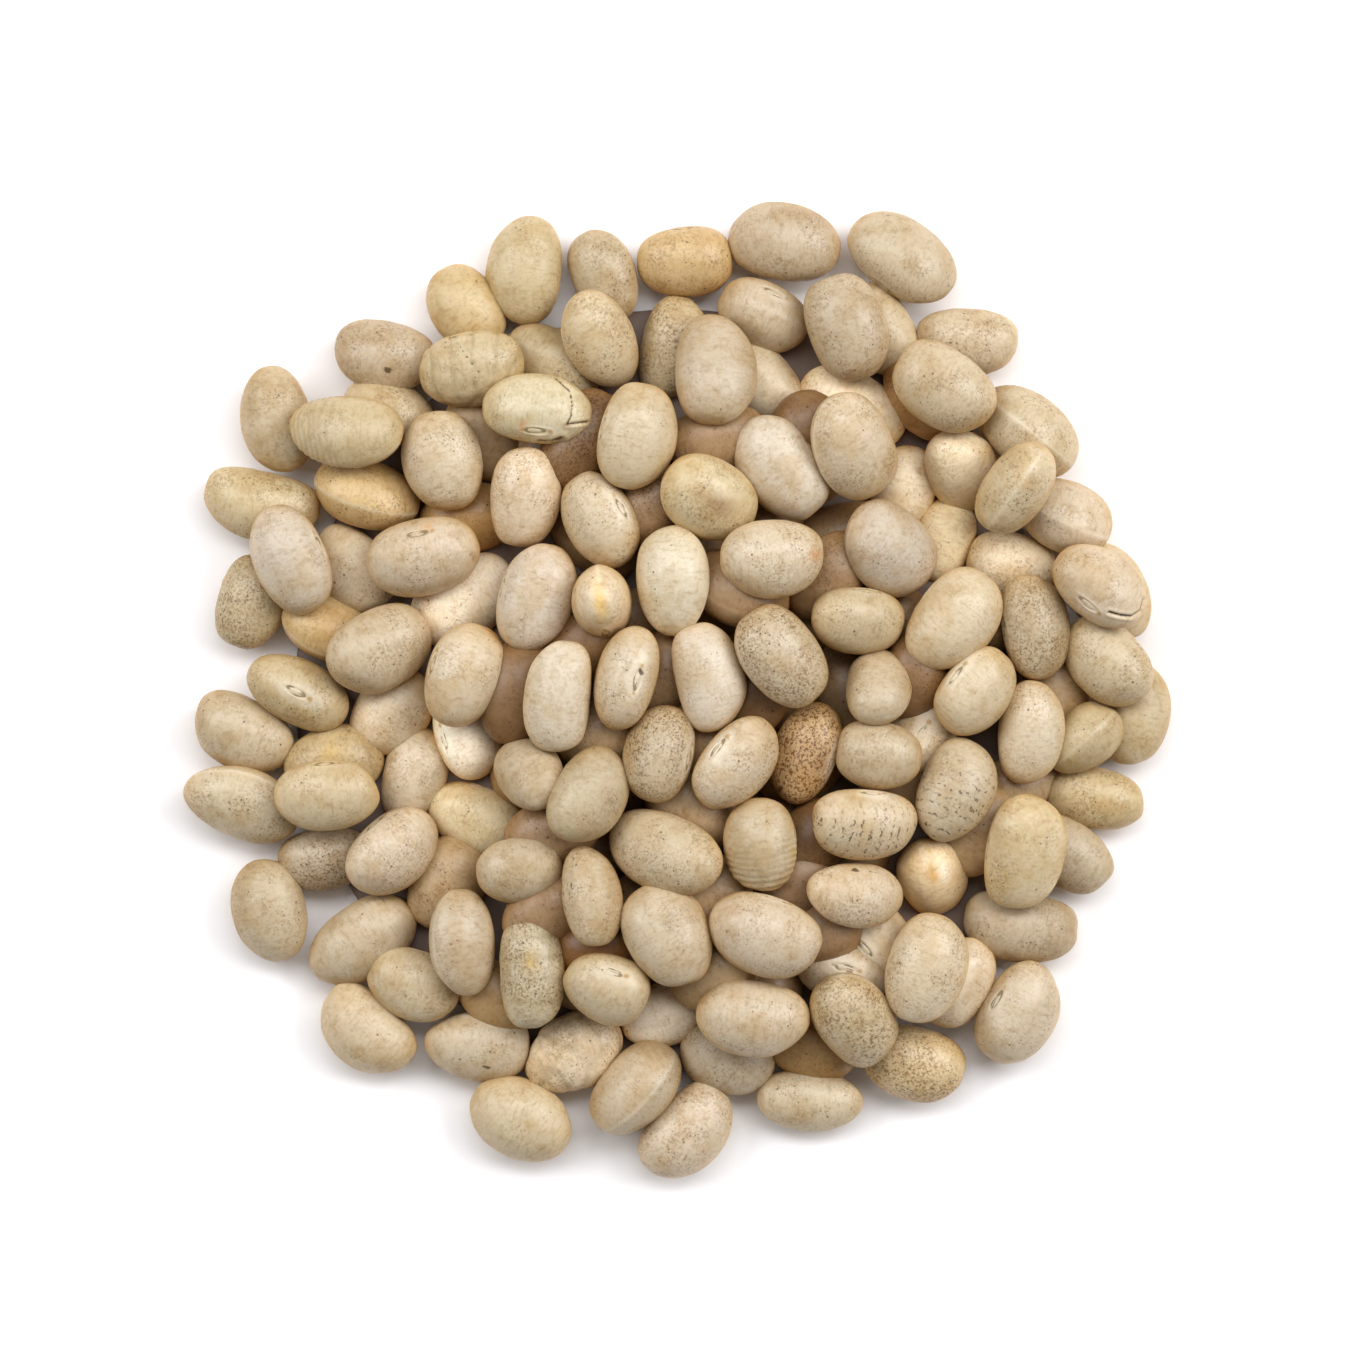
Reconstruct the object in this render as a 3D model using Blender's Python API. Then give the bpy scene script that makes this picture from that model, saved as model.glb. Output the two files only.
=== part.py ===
"""A loose heap of dried beans on a flat surface, as one solid.

A low core fills the inside of the heap. Every bean that shows is laid at its own place, settled onto the
beans below it, and fused to the core and to its neighbours. Metres, +Z up. The origin is the middle of
the heap on the surface that it lies on.
"""

import math

import bmesh
import bpy
import numpy as np
from mathutils import Matrix

MM = 0.001

# The form of one bean
THICK_SHARE = 0.84      # thickness over width
BLUNT = 2.12            # 2 is an ellipse, more has blunter ends
PLUMP_END = 0.03        # how much fuller one end is
SCAR_FLAT = 0.07        # how much flatter the scar side is
END_CURL = 0.025        # how far the ends lean to the scar side, as a share of the length
SWELL = 1.07            # faceted beans reach this far past the true skin, so that their faces lie on it
SIDES = 7
GAP_SIDES = 6           # of the beans that show only in gaps
RINGS = 4

# How the beans settle, in mm
CELL = 0.4              # the height map's step
HALF_MAP = 58.0
REACH = 7.5             # half the side of the patch of map that a bean can touch
SINK = 0.97             # touching beans press into each other this much
SPARE = 0.10            # share of a bean's own patch that may overlap its neighbours
LEAN_COST = 0.004       # how little a degree of lean must gain to be taken
FLOOR_LEANS = (0, -6, 6, -12, 12, -18, 18)
LEANS = (0, -8, 8, -16, 16, -24, 24)
END_ON_SHAPE = 1.38     # length over width of a bean that is seen partly end on
END_ON_BELOW = 1.2      # seen length over seen width of such a bean

# Beans inside the heap, which lift the ones above them
INNER_RADIUS = 33.0
INNER_ROWS = range(-5, 6)
INNER_STEP = (8.6, 7.6)
INNER_SHIFT = 0.8
INNER_LENGTH = (9.8, 11.2)
INNER_WIDTH = (7.0, 7.8)
INNER_SEED = 7
INNER_TAKEN = 0.3       # an inner bean is left out where this share of its place is taken
INNER_LIFT = 1.5
BARE = 0.5              # lower than this, the surface counts as free

# The core, in mm: its steps inward as (share of the reach, height), low under the lowest layer of beans
# and high in the middle, where no bean of that layer shows
CORE_SPOKES = 36
CORE_INSET = 3.0        # from the middles of the outermost beans
CORE_BELOW = 1.0        # cut away with the undersides of the beans
CORE_STEPS = ((1.0, -CORE_BELOW), (1.0, 2.0), (0.62, 3.0), (0.42, 5.4), (0.2, 6.2))
GROUND_DEPTH = 10.0     # of the slab that cuts the undersides flat

# Each bean: x and y of its middle (mm), heading of its long axis (degrees from +X), length and width as
# seen from above (mm), and where its scar side faces (0 level on the left, 90 up, 180 level on the right,
# -90 down).
FLOOR_BEANS = (
    (-39.9, 27.2, 99, 10.9, 7.2, 180), (-29.2, 33.8, -10, 10.5, 7.2, -20), (-20.9, 38.4, 122, 9.5, 7.2, 180),
    (-14.9, 42.2, 86, 11.0, 7.8, 180), (-28.8, 28.1, -20, 9.5, 6.2, -60), (-31.0, 19.7, -17, 11.0, 6.9, -70),
    (-41.6, 19.0, -12, 12.0, 7.0, 0), (-19.1, 25.6, -60, 10.0, 7.0, 0), (-7.3, 41.5, 112, 9.8, 6.6, -20),
    (0.9, 43.2, 3, 9.8, 7.3, 20), (11.0, 44.8, -10, 11.3, 8.0, 180), (8.9, 37.7, -25, 9.6, 7.0, 45),
    (-0.3, 34.5, 78, 10.5, 7.0, 0), (8.8, 30.9, -50, 9.5, 7.0, 0), (17.8, 28.5, -30, 11.5, 7.5, 0),
    (-12.3, 32.8, -35, 10.5, 7.5, 0), (22.7, 43.4, -35, 11.8, 7.9, 160), (20.7, 36.4, 120, 9.8, 6.8, 180),
    (29.4, 35.3, -3, 10.5, 6.8, 0), (25.6, 29.3, -40, 11.0, 7.5, 0), (28.6, 22.0, 110, 8.3, 7.3, 0),
    (35.4, 26.0, -38, 11.4, 7.5, -90), (39.1, 17.5, -25, 10.0, 7.3, -80), (22.8, 20.3, 75, 9.0, 6.5, 0),
    (26.8, 15.2, 70, 8.5, 6.0, 0), (-42.9, 8.8, 75, 9.6, 7.0, 0), (-35.0, 6.5, -25, 9.5, 6.8, -40),
    (-37.9, -0.2, -27, 11.0, 6.6, 90), (-43.4, -4.1, -25, 10.6, 7.3, 0), (-43.6, -11.5, -20, 12.0, 7.3, -140),
    (-34.4, -7.1, 15, 10.4, 7.5, 0), (-28.6, -2.0, 50, 9.5, 7.5, 0), (-26.4, -8.5, 75, 9.8, 6.6, 0),
    (-20.9, -4.4, 105, 9.5, 7.0, 45), (-20.0, -12.8, -25, 10.2, 7.0, 0), (-35.3, -16.8, 8, 9.5, 6.3, 0),
    (-32.3, 12.3, -45, 10.0, 7.5, 0), (-21.3, 9.2, 35, 11.5, 8.0, 0), (-20.7, 17.5, 10, 10.0, 7.0, 0),
    (43.3, 9.8, 125, 11.0, 7.8, 0), (46.3, -2.5, 80, 10.4, 6.6, 0), (41.1, -4.9, 42, 8.6, 6.1, -90),
    (42.3, -10.7, -12, 10.2, 6.3, 0), (24.6, -4.5, 60, 9.5, 7.0, 90), (33.9, 12.4, -20, 9.5, 7.5, 0),
    (38.0, 0.2, 100, 9.0, 7.0, 0), (34.9, -9.1, 15, 9.0, 6.0, 0), (30.4, -13.9, 60, 10.0, 7.0, 0),
    (39.9, -16.5, -40, 9.4, 6.8, 0), (-40.6, -22.1, 102, 10.5, 7.5, 180), (-31.5, -25.0, 33, 11.8, 7.7, 0),
    (-26.3, -29.3, -22, 9.8, 7.2, 0), (-30.9, -34.0, -42, 10.9, 7.4, 0), (-19.8, -35.6, -3, 11.0, 7.2, 15),
    (-15.4, -42.9, -30, 10.8, 8.0, 0), (-23.0, -19.3, 60, 10.0, 7.5, 0), (-18.0, -30.5, -40, 9.0, 6.5, 0),
    (-1.3, -32.5, 20, 8.8, 6.6, 0), (-10.3, -36.2, 30, 10.4, 7.8, 0), (-4.0, -40.0, 48, 11.0, 7.2, -70),
    (1.1, -44.2, 48, 11.0, 7.6, 0), (5.2, -36.9, -18, 9.8, 7.2, 0), (13.4, -41.1, -4, 10.9, 6.3, 0),
    (13.7, -35.5, -20, 10.0, 7.0, 0), (17.0, -27.8, -15, 10.0, 7.0, 90), (20.2, -24.8, 130, 9.0, 6.5, 60),
    (28.5, -29.5, 61, 9.9, 6.5, 85), (34.5, -32.4, 60, 10.8, 7.8, 45), (34.8, -23.6, -8, 11.6, 7.0, 0),
    (24.0, -37.3, -15, 10.5, 7.5, 0),
)
GAP_BEANS = (
    (-9.4, 25.0, 60, 11.0, 7.5, 0), (4.0, 25.2, 15, 10.5, 7.0, 0), (12.5, 25.8, 60, 9.0, 7.0, 0),
    (-2.5, 18.5, 40, 9.5, 7.0, 0), (-9.6, 4.3, 45, 10.0, 7.0, 0), (6.4, 10.0, -25, 11.0, 7.5, -60),
    (15.1, 11.5, 50, 10.0, 7.0, 0), (-1.1, 1.7, 60, 9.5, 7.0, 0), (8.0, -0.4, 70, 9.5, 7.0, 0),
    (-16.0, 0.0, 80, 11.0, 8.0, 0), (-7.5, -4.2, 20, 9.5, 7.0, 0), (3.0, -5.0, 100, 9.5, 7.0, 0),
    (1.7, -11.5, -30, 10.0, 7.0, 0), (-12.2, -13.9, 20, 10.0, 7.0, 0), (13.4, -15.0, 50, 9.5, 7.0, 0),
    (23.9, 1.5, 80, 9.0, 6.5, 0), (3.5, -20.3, 30, 9.0, 6.8, 0), (4.0, -28.5, 20, 9.5, 7.0, 0),
    (12.0, -19.5, 70, 9.0, 6.8, 0), (-13.0, -22.0, 30, 9.5, 7.0, 0), (-7.5, -25.5, 10, 9.0, 6.5, 0),
    (14.7, -23.8, 10, 9.0, 6.5, 0),
)
SECOND_BEANS = (
    (-32.9, 26.0, -4, 12.0, 7.3, -25), (-20.4, 32.3, 12, 10.8, 8.0, 0), (-23.1, 23.0, 102, 10.4, 8.2, 180),
    (-15.2, 19.2, 85, 10.5, 7.3, 0), (-7.4, 35.2, 118, 10.5, 7.2, 180), (17.0, 36.3, 108, 11.0, 8.0, -20),
    (-13.7, 28.0, -5, 11.1, 7.1, 130), (10.7, 22.3, 125, 11.7, 8.0, 160), (-7.5, 17.0, 118, 10.3, 7.2, 135),
    (26.9, 30.4, -35, 11.2, 8.0, 0), (34.0, 20.1, 55, 10.6, 6.5, -90), (21.5, 14.3, -45, 10.6, 8.7, 0),
    (-38.4, 13.1, 113, 11.4, 7.6, 155), (-29.7, 4.2, 28, 11.2, 8.3, 0), (-34.8, -10.4, 4, 10.5, 7.2, 25),
    (-21.1, 1.5, 70, 10.7, 7.9, 30), (-28.4, -16.1, 40, 10.6, 7.6, 25), (-25.2, 13.4, 12, 11.4, 7.8, 55),
    (-7.3, 8.7, 97, 7.1, 6.0, 90), (13.1, -6.3, 69, 10.6, 6.6, 150), (-14.7, -8.4, 130, 7.6, 6.6, 0),
    (-15.6, -17.7, 10, 8.7, 6.7, 0), (27.7, 7.1, 50, 11.3, 8.2, 0), (35.9, 6.4, 100, 10.7, 7.3, 0),
    (42.4, 10.4, -37, 10.3, 7.3, 130), (43.4, 3.0, -48, 10.2, 7.6, 20), (35.4, -4.2, 84, 10.6, 6.8, 0),
    (30.0, -0.1, 52, 9.6, 7.0, 40), (20.1, 0.3, 85, 7.6, 6.7, 0), (34.8, -16.3, 80, 12.0, 8.3, 0),
    (25.7, -18.8, 110, 7.9, 7.1, 0), (-21.2, -25.2, 94, 10.9, 6.7, -140), (-14.5, -28.1, 92, 11.5, 6.5, 0),
    (7.8, -32.6, -8, 11.4, 7.9, 0), (-6.9, -29.7, -20, 8.8, 7.0, 60), (17.8, -33.0, 125, 10.8, 7.9, 0),
    (24.9, -27.8, 74, 11.2, 8.1, 0),
)
TOP_BEANS = (
    (-3.9, 25.4, 77, 11.0, 8.2, 0), (17.9, 24.4, 115, 11.6, 8.6, 180), (-14.0, 9.3, 75, 11.1, 7.8, 20),
    (9.7, 13.3, 5, 10.4, 8.0, 0), (18.2, 7.1, -6, 10.1, 7.0, 0), (-11.4, -0.6, 84, 11.1, 6.7, 180),
    (-8.7, -10.4, 60, 10.5, 7.5, 0), (-8.4, -20.6, 100, 10.4, 6.2, 0), (20.3, -6.3, -8, 8.9, 6.9, 0),
    (27.8, -10.0, 66, 10.8, 7.7, 0), (17.9, -20.2, -3, 10.3, 6.6, 0), (3.8, 32.0, 92, 11.9, 8.3, 0),
    (3.5, 19.3, -30, 10.6, 8.3, 0), (-0.4, 10.9, 92, 11.1, 7.6, 0), (-4.8, 1.2, 75, 10.6, 6.1, 110),
    (3.2, 1.3, 103, 11.0, 7.0, 0), (10.7, 3.4, 127, 11.2, 7.9, -155), (-1.5, -6.4, 78, 10.0, 7.2, 150),
    (6.0, -7.3, 50, 10.6, 7.0, 45), (-1.0, -16.0, -20, 12.6, 8.0, 0), (8.7, -15.4, 95, 9.3, 7.5, 170),
    (18.8, -13.2, -3, 11.3, 7.3, 25), (-0.9, -24.5, 118, 11.0, 8.5, 0), (9.0, -24.2, -19, 11.7, 8.3, 0),
)

# Each layer from the bottom up, and how far its beans may stand above the surface's own layer (mm)
LAYERS = ((GAP_BEANS, 4.6), (SECOND_BEANS, 5.8), (TOP_BEANS, 9.8))
FLOOR_LIFT = 1.4


def turned(heading, pitch, roll):
    """The rotation of a bean: roll about its long axis, then lean, then heading."""
    return np.array(
        Matrix.Rotation(math.radians(heading), 3, "Z")
        @ Matrix.Rotation(math.radians(-pitch), 3, "Y")
        @ Matrix.Rotation(math.radians(roll), 3, "X")
    )


class Heap:
    """A height map of what has been laid so far, and the beans laid on it (mm)."""

    def __init__(self):
        steps = int(2 * HALF_MAP / CELL)
        self.axis = (np.arange(steps) + 0.5) * CELL - HALF_MAP
        self.height = np.zeros((steps, steps))
        self.laid = []

    def patch(self, x, y):
        """The part of the map round a bean, and its cells' distances from the bean's middle."""
        left, right = np.searchsorted(self.axis, (x - REACH, x + REACH))
        front, back = np.searchsorted(self.axis, (y - REACH, y + REACH))
        across, along = np.meshgrid(self.axis[left:right] - x, self.axis[front:back] - y)
        return self.height[front:back, left:right], across, along

    @staticmethod
    def skin(across, along, turn, half_sizes):
        """Where an ellipsoid covers the patch, and its lower and upper surface there."""
        form = turn @ np.diag(1 / half_sizes**2) @ turn.T
        slope = form[0, 2] * across + form[1, 2] * along
        level = form[0, 0] * across**2 + 2 * form[0, 1] * across * along + form[1, 1] * along**2 - 1
        under_root = slope**2 - form[2, 2] * level
        covered = under_root > 0
        root = np.sqrt(np.where(covered, under_root, 0))
        return covered, (-slope - root) / form[2, 2], (-slope + root) / form[2, 2]

    def lay(self, bean, leans, most_lift):
        """Lowers a bean onto what lies below it, at the lean that lets it sink furthest."""
        x, y, heading, seen_length, seen_width, roll = bean
        facing = math.radians(roll)
        width = seen_width / math.hypot(math.cos(facing), THICK_SHARE * math.sin(facing))
        thick = THICK_SHARE * width
        length = seen_length
        # a bean whose scar or back shows keeps the roll that it is seen at
        rocks = (0,) if roll % 180 else leans
        choices = [(pitch, lean) for pitch in leans for lean in rocks]
        if seen_length < END_ON_BELOW * seen_width:
            length = END_ON_SHAPE * width
            tall = math.hypot(width * math.sin(facing), thick * math.cos(facing))
            level_share = (seen_length**2 - tall**2) / (length**2 - tall**2)
            pitch = math.degrees(math.acos(math.sqrt(min(max(level_share, 0.05), 1))))
            choices = [(pitch, 0), (-pitch, 0)]
        half_sizes = np.array((length, width, thick)) / 2
        below, across, along = self.patch(x, y)
        best = None
        for pitch, lean in choices:
            turn = turned(heading, pitch, roll + lean)
            covered, lower, _ = self.skin(across, along, turn, half_sizes)
            resting = -lower[covered].min()
            covered, lower, _ = self.skin(across, along, turn, half_sizes * SINK)
            gaps = np.sort((below - lower)[covered])
            touching = gaps[int(len(gaps) * (1 - SPARE))]
            middle = min(max(resting, touching), resting + most_lift)
            cost = middle + LEAN_COST * (abs(pitch) + abs(lean))
            if best is None or cost < best[0]:
                best = (cost, middle, turn)
        _, middle, turn = best
        covered, _, upper = self.skin(across, along, turn, half_sizes * SINK)
        below[covered] = np.maximum(below[covered], middle + upper[covered])
        self.laid.append((np.array((x, y, middle)), turn, half_sizes))

    def fill_inside(self):
        """Lays the hidden beans of the lowest layer, wherever there is room for one."""
        draw = np.random.default_rng(INNER_SEED)
        for row in INNER_ROWS:
            for column in INNER_ROWS:
                x = (column + 0.5 * (row % 2)) * INNER_STEP[0] + draw.uniform(-INNER_SHIFT, INNER_SHIFT)
                y = row * INNER_STEP[1] + draw.uniform(-INNER_SHIFT, INNER_SHIFT)
                heading = draw.uniform(0, 180)
                length = draw.uniform(*INNER_LENGTH)
                width = draw.uniform(*INNER_WIDTH)
                below, across, along = self.patch(x, y)
                half_sizes = np.array((length, width, THICK_SHARE * width)) / 2
                covered, _, _ = self.skin(across, along, turned(heading, 0, 0), half_sizes)
                taken = (below[covered] > BARE).mean()
                if math.hypot(x, y) < INNER_RADIUS and taken < INNER_TAKEN:
                    self.lay((x, y, heading, length, width, 0), LEANS, INNER_LIFT)


def settled_beans():
    """Every bean that shows, as (middle, rotation, half sizes, sides) in mm, about the heap's middle."""
    heap = Heap()
    for bean in FLOOR_BEANS:
        heap.lay(bean, FLOOR_LEANS, FLOOR_LIFT)
    shown = [(*bean, SIDES) for bean in heap.laid]
    heap.fill_inside()
    for beans, most_lift in LAYERS:
        for bean in beans:
            heap.lay(bean, LEANS, most_lift)
        sides = GAP_SIDES if beans is GAP_BEANS else SIDES
        shown += [(*bean, sides) for bean in heap.laid[-len(beans):]]
    reaches = [np.linalg.norm(turn * half_sizes, axis=1) for _, turn, half_sizes, _ in shown]
    lows = [middle - reach for (middle, *_), reach in zip(shown, reaches)]
    highs = [middle + reach for (middle, *_), reach in zip(shown, reaches)]
    shift = (np.min(lows, axis=0) + np.max(highs, axis=0)) / 2
    shift[2] = 0
    return [(middle - shift, turn, half_sizes, sides) for middle, turn, half_sizes, sides in shown]


def bean_skin(unit, half_sizes):
    """A point of the unit sphere, with its poles on X, moved to the skin of a bean (mm)."""
    along = unit[0]
    ring = math.hypot(unit[1], unit[2])
    if ring < 1e-6:
        return np.array((along, END_CURL * 2, 0)) * half_sizes[0]
    full = (1 - abs(along) ** BLUNT) ** (1 / BLUNT) * (1 + PLUMP_END * along)
    to_scar, to_top = unit[1] / ring, unit[2] / ring
    flat = 1 - SCAR_FLAT * max(to_scar, 0) * (1 - along**2)
    curl = END_CURL * 2 * half_sizes[0] * (along**2 - 0.4)
    return np.array((
        along * half_sizes[0],
        to_scar * full * flat * half_sizes[1] + curl,
        to_top * full * half_sizes[2],
    ))


def add_bean(name, middle, turn, half_sizes, sides, collection):
    """One faceted bean as an object of its own."""
    mesh = bpy.data.meshes.new(name)
    form = bmesh.new()
    bmesh.ops.create_uvsphere(form, u_segments=sides, v_segments=RINGS, radius=1)
    for vertex in form.verts:
        # the sphere's poles are on Z, the bean's ends on X
        unit = (vertex.co.z, vertex.co.x, vertex.co.y)
        vertex.co = (turn @ (bean_skin(unit, half_sizes * SWELL)) + middle) * MM
    form.to_mesh(mesh)
    form.free()
    bean = bpy.data.objects.new(name, mesh)
    bean.hide_render = True
    collection.objects.link(bean)
    return bean


def core_reach(beans, angle):
    """How far the core goes out at this angle: short of the outermost beans near it (mm)."""
    out = np.array((math.cos(angle), math.sin(angle)))
    across = np.array((-out[1], out[0]))
    near = [middle[:2] @ out for middle, *_ in beans if abs(middle[:2] @ across) < REACH]
    return max(near) - CORE_INSET


def add_core(beans, collection):
    """The low dome inside the heap, from below the surface up to its rim and its middle."""
    mesh = bpy.data.meshes.new("core")
    form = bmesh.new()
    angles = [2 * math.pi * spoke / CORE_SPOKES for spoke in range(CORE_SPOKES)]
    reaches = [core_reach(beans, angle) for angle in angles]
    rings = []
    for share, height in CORE_STEPS:
        ring = [
            form.verts.new((share * r * math.cos(a) * MM, share * r * math.sin(a) * MM, height * MM))
            for a, r in zip(angles, reaches)
        ]
        rings.append([form.edges.new((v, ring[i - 1])) for i, v in enumerate(ring)])
    for lower, upper in zip(rings, rings[1:]):
        bmesh.ops.bridge_loops(form, edges=lower + upper)
    bmesh.ops.holes_fill(form, edges=form.edges[:])
    bmesh.ops.recalc_face_normals(form, faces=form.faces)
    form.to_mesh(mesh)
    form.free()
    core = bpy.data.objects.new("bean_heap", mesh)
    collection.objects.link(core)
    return core


def add_ground(collection):
    """A slab under the surface, which cuts the undersides flat."""
    mesh = bpy.data.meshes.new("ground")
    form = bmesh.new()
    depth = GROUND_DEPTH * MM
    bmesh.ops.create_cube(form, size=1)
    bmesh.ops.scale(form, vec=(2 * HALF_MAP * MM, 2 * HALF_MAP * MM, depth), verts=form.verts)
    bmesh.ops.translate(form, vec=(0, 0, -depth / 2), verts=form.verts)
    form.to_mesh(mesh)
    form.free()
    ground = bpy.data.objects.new("ground", mesh)
    ground.hide_render = True
    ground.display_type = "WIRE"
    collection.objects.link(ground)
    return ground


def apply_boolean(solid, operation, **operand):
    """A Boolean on the solid, worked out and kept as its mesh."""
    cut = solid.modifiers.new(operation.lower(), "BOOLEAN")
    cut.operation = operation
    cut.solver = "EXACT"
    for setting, value in operand.items():
        setattr(cut, setting, value)
    graph = bpy.context.evaluated_depsgraph_get()
    worked_out = bpy.data.meshes.new_from_object(solid.evaluated_get(graph))
    solid.modifiers.clear()
    solid.data = worked_out


def keep_outer_shell(mesh):
    """Keeps the largest joined shell: sealed hollows are filled and loose scrap is dropped."""
    form = bmesh.new()
    form.from_mesh(mesh)
    bmesh.ops.triangulate(form, faces=form.faces)
    unseen = set(form.verts)
    shells = []
    while unseen:
        shell = [unseen.pop()]
        for vertex in shell:
            for edge in vertex.link_edges:
                other = edge.other_vert(vertex)
                if other in unseen:
                    unseen.remove(other)
                    shell.append(other)
        shells.append(shell)
    shells.sort(key=len)
    bmesh.ops.delete(form, geom=[v for shell in shells[:-1] for v in shell], context="VERTS")
    form.to_mesh(mesh)
    form.free()


def dried_bean_finish():
    """Satin cream seed coat."""
    material = bpy.data.materials.new("dried_bean_coat")
    material.use_nodes = True
    coat = material.node_tree.nodes["Principled BSDF"]
    coat.inputs["Base Color"].default_value = (0.58, 0.47, 0.33, 1)
    coat.inputs["Roughness"].default_value = 0.45
    coat.inputs["Metallic"].default_value = 0.0
    return material


def main():
    for thing in list(bpy.data.objects):
        bpy.data.objects.remove(thing)
    bpy.context.scene.unit_settings.scale_length = 1.0
    heap_collection = bpy.data.collections.new("dried_beans")
    loose_collection = bpy.data.collections.new("loose_beans")
    cutters = bpy.data.collections.new("cutters")
    for collection in (heap_collection, loose_collection, cutters):
        bpy.context.scene.collection.children.link(collection)

    beans = settled_beans()
    solid = add_core(beans, heap_collection)
    for number, bean in enumerate(beans):
        add_bean(f"bean_{number:03d}", *bean, loose_collection)
    apply_boolean(solid, "UNION", operand_type="COLLECTION", collection=loose_collection)
    for bean in list(loose_collection.objects):
        bpy.data.objects.remove(bean)
    bpy.data.collections.remove(loose_collection)

    ground = add_ground(cutters)
    apply_boolean(solid, "DIFFERENCE", object=ground)
    keep_outer_shell(solid.data)
    solid.data.materials.clear()
    solid.data.materials.append(dried_bean_finish())


main()
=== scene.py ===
"""A loose heap of dried cream beans on a pale floor, seen from straight above.

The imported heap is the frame. Its one node is replaced by single beans, which settle by the same rule as
the frame's own, over a low core. Tables and bean shapes are in mm, meshes in metres, +Z up.
"""

import math

import bpy
import numpy as np
from mathutils import Matrix


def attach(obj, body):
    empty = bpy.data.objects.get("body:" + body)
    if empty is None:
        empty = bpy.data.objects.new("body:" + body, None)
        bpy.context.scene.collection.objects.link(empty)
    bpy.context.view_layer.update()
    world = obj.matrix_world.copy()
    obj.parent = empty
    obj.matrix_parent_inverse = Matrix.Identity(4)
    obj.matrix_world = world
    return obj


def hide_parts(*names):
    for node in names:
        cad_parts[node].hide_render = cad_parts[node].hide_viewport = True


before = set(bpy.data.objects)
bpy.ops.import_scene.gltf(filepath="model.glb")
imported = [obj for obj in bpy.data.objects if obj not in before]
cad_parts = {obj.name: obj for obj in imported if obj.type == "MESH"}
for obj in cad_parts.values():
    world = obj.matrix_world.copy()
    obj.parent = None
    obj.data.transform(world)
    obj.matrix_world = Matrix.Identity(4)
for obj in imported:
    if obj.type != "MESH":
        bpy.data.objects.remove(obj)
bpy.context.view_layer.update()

MM = 0.001
HEAP_NODE = "bean_heap"

# How the beans settle, in mm, as in the frame
THICK_SHARE = 0.84      # thickness over width
CELL = 0.4              # the height map's step
HALF_MAP = 58.0
REACH = 7.5             # half the side of the patch of map that a bean can touch
SINK = 0.97             # touching beans press into each other this much
SPARE = 0.10            # share of a bean's own patch that may overlap its neighbours
LEAN_COST = 0.004       # how little a degree of lean must gain to be taken
FLOOR_LEANS = (0, -6, 6, -12, 12, -18, 18)
LEANS = (0, -8, 8, -16, 16, -24, 24)
END_ON_SHAPE = 1.38     # length over width of a bean that is seen partly end on
END_ON_BELOW = 1.2      # seen length over seen width of such a bean
INNER_RADIUS = 33.0
INNER_ROWS = range(-5, 6)
INNER_STEP = (8.6, 7.6)
INNER_SHIFT = 0.8
INNER_LENGTH = (9.8, 11.2)
INNER_WIDTH = (7.0, 7.8)
INNER_SEED = 7
INNER_TAKEN = 0.3       # an inner bean is left out where this share of its place is taken
INNER_LIFT = 1.5
BARE = 0.5              # lower than this, the surface counts as free
FLOOR_LIFT = 1.4

# The camera looks straight down on the middle of the photograph's frame
VIEW_MIDDLE = (0.8, 0.7)    # in the tables' own x and y, mm
VIEW_WIDTH = 136.6          # mm of the scene across the frame
VIEW_LEVEL = 8.0            # mm above the floor, where that width holds
CAMERA_HEIGHT = 0.85
SENSOR_WIDTH = 36.0

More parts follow.
